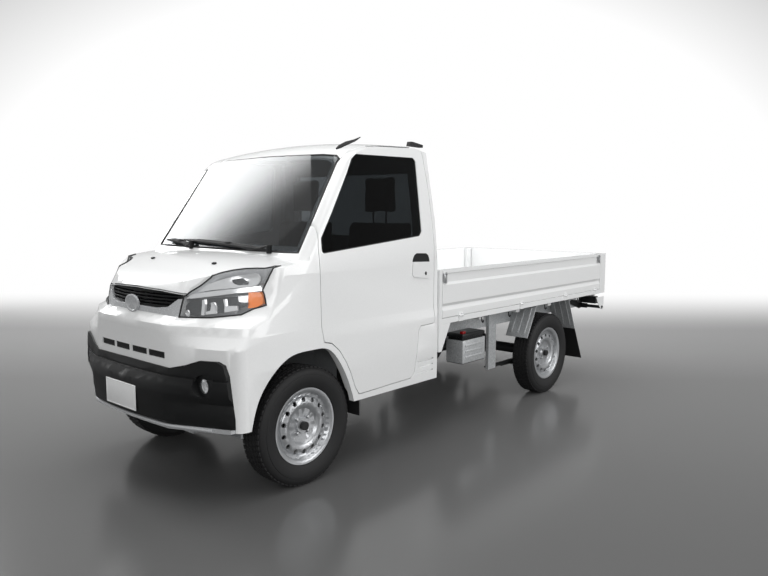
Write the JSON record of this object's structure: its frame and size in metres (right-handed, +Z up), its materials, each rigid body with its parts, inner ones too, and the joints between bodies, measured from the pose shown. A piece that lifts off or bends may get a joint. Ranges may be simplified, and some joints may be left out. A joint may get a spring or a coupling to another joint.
{
  "type": "kei truck",
  "caption": "Light two-seat pickup truck with a short nose, opening doors and hood, and a flat bed with fold-down side gates and tailgate.",
  "frame": {"origin": "middle of the footprint, on the road", "axes": "+X to the truck's left, +Y to its rear, +Z up"},
  "size_m": [1.424, 3.9859, 1.7791],
  "materials": {
    "body_paint": "gloss white enamel",
    "window_glass": "tinted glass",
    "black_plastic": "grained black plastic",
    "satin_trim": "satin silver",
    "lamp_lens": "clear lens over bright reflectors",
    "floor_paint": "grey sealed panel",
    "inner_plastic": "grained dark grey plastic",
    "seat_fabric": "dark grey woven cloth",
    "galvanised_steel": "galvanised",
    "chassis_black": "black chassis paint",
    "black_rubber": "matte rubber",
    "cast_metal": "cast",
    "exhaust_steel": "dull steel",
    "battery_case": "moulded case",
    "tail_lens": "red lens",
    "wheel_steel": "silver painted steel",
    "tyre_rubber": "black rubber"
  },
  "bodies": {
    "root": {"cab_glass": "window_glass", "roof": "body_paint", "bumper": "body_paint", "rear_wall": "body_paint", "cab_front": "body_paint", "cab_side_left": "body_paint", "cab_side_right": "body_paint", "grille": "black_plastic", "grille_trim": "satin_trim", "headlamps": "lamp_lens", "bumper_lower": "black_plastic", "fog_lamps": "lamp_lens", "bumper_lip": "satin_trim", "cab_floor": "floor_paint", "dashboard": "inner_plastic", "seats": "seat_fabric", "wipers": "black_plastic", "bed_floor": "body_paint", "bed_front": "body_paint", "frame": "galvanised_steel", "rear_bar": "chassis_black", "mudguards": "galvanised_steel", "flaps": "black_rubber", "rear_axle": "chassis_black", "leaf_springs": "chassis_black", "engine": "cast_metal", "exhaust": "exhaust_steel", "fuel_tank": "chassis_black", "battery": "battery_case", "front_suspension": "chassis_black", "rear_lamps": "tail_lens"},
    "door_left_body": {"door_left": "body_paint", "door_glass_left": "window_glass"},
    "door_right_body": {"door_right": "body_paint", "door_glass_right": "window_glass"},
    "hood_body": {"hood": "body_paint"},
    "gate_left_body": {"gate_left": "body_paint"},
    "gate_right_body": {"gate_right": "body_paint"},
    "tailgate_body": {"tailgate": "body_paint"},
    "knuckle_left_body": {"knuckle_left": "chassis_black"},
    "knuckle_right_body": {"knuckle_right": "chassis_black"},
    "steering_wheel_body": {"steering_wheel": "inner_plastic"},
    "wheel_front_left_body": {"wheel_front_left": "wheel_steel", "tyre_front_left": "tyre_rubber"},
    "wheel_front_right_body": {"wheel_front_right": "wheel_steel", "tyre_front_right": "tyre_rubber"},
    "wheel_rear_left_body": {"wheel_rear_left": "wheel_steel", "tyre_rear_left": "tyre_rubber"},
    "wheel_rear_right_body": {"wheel_rear_right": "wheel_steel", "tyre_rear_right": "tyre_rubber"}
  },
  "joints": [
    {"name": "door_left_hinge", "type": "hinge", "parent": "root", "child": "door_left_body", "pos_m": [0.7, -1.291, 0.8], "axis": [0, 0, -1], "range_deg": [0, 65]},
    {"name": "door_right_hinge", "type": "hinge", "parent": "root", "child": "door_right_body", "pos_m": [-0.7, -1.291, 0.8], "axis": [0, 0, 1], "range_deg": [0, 65]},
    {"name": "hood_hinge", "type": "hinge", "parent": "root", "child": "hood_body", "pos_m": [0, -1.397, 1.166], "axis": [-1, 0, 0], "range_deg": [0, 50]},
    {"name": "gate_left_hinge", "type": "hinge", "parent": "root", "child": "gate_left_body", "pos_m": [0.706, 0.647, 0.735], "axis": [0, 1, 0], "range_deg": [0, 175]},
    {"name": "gate_right_hinge", "type": "hinge", "parent": "root", "child": "gate_right_body", "pos_m": [-0.706, 0.647, 0.735], "axis": [0, -1, 0], "range_deg": [0, 175]},
    {"name": "tailgate_hinge", "type": "hinge", "parent": "root", "child": "tailgate_body", "pos_m": [0, 1.987, 0.735], "axis": [-1, 0, 0], "range_deg": [0, 175]},
    {"name": "steer_left", "type": "hinge", "parent": "root", "child": "knuckle_left_body", "pos_m": [0.545, -1.353, 0.2], "axis": [-0.1903, 0, 0.9817], "range_deg": [-33, 33]},
    {"name": "steer_right", "type": "hinge", "parent": "root", "child": "knuckle_right_body", "pos_m": [-0.545, -1.353, 0.2], "axis": [0.1903, 0, 0.9817], "range_deg": [-34, 34]},
    {"name": "steering_wheel_turn", "type": "hinge", "parent": "root", "child": "steering_wheel_body", "pos_m": [0.33, -0.99294, 1.02172], "axis": [0, 0.6429, 0.7659], "range_deg": [-500, 500]},
    {"name": "wheel_front_left_spin", "type": "hinge", "parent": "knuckle_left_body", "child": "wheel_front_left_body", "pos_m": [0.588, -1.353, 0.3036], "axis": [1, 0, 0], "continuous": true},
    {"name": "wheel_front_right_spin", "type": "hinge", "parent": "knuckle_right_body", "child": "wheel_front_right_body", "pos_m": [-0.588, -1.353, 0.3036], "axis": [1, 0, 0], "continuous": true},
    {"name": "wheel_rear_left_spin", "type": "hinge", "parent": "root", "child": "wheel_rear_left_body", "pos_m": [0.588, 1.116, 0.3036], "axis": [1, 0, 0], "continuous": true},
    {"name": "wheel_rear_right_spin", "type": "hinge", "parent": "root", "child": "wheel_rear_right_body", "pos_m": [-0.588, 1.116, 0.3036], "axis": [1, 0, 0], "continuous": true}
  ],
  "couplings": [
    {"joint": "steer_right", "follows": "steer_left", "ratio": 1},
    {"joint": "steering_wheel_turn", "follows": "steer_left", "ratio": 15}
  ]
}
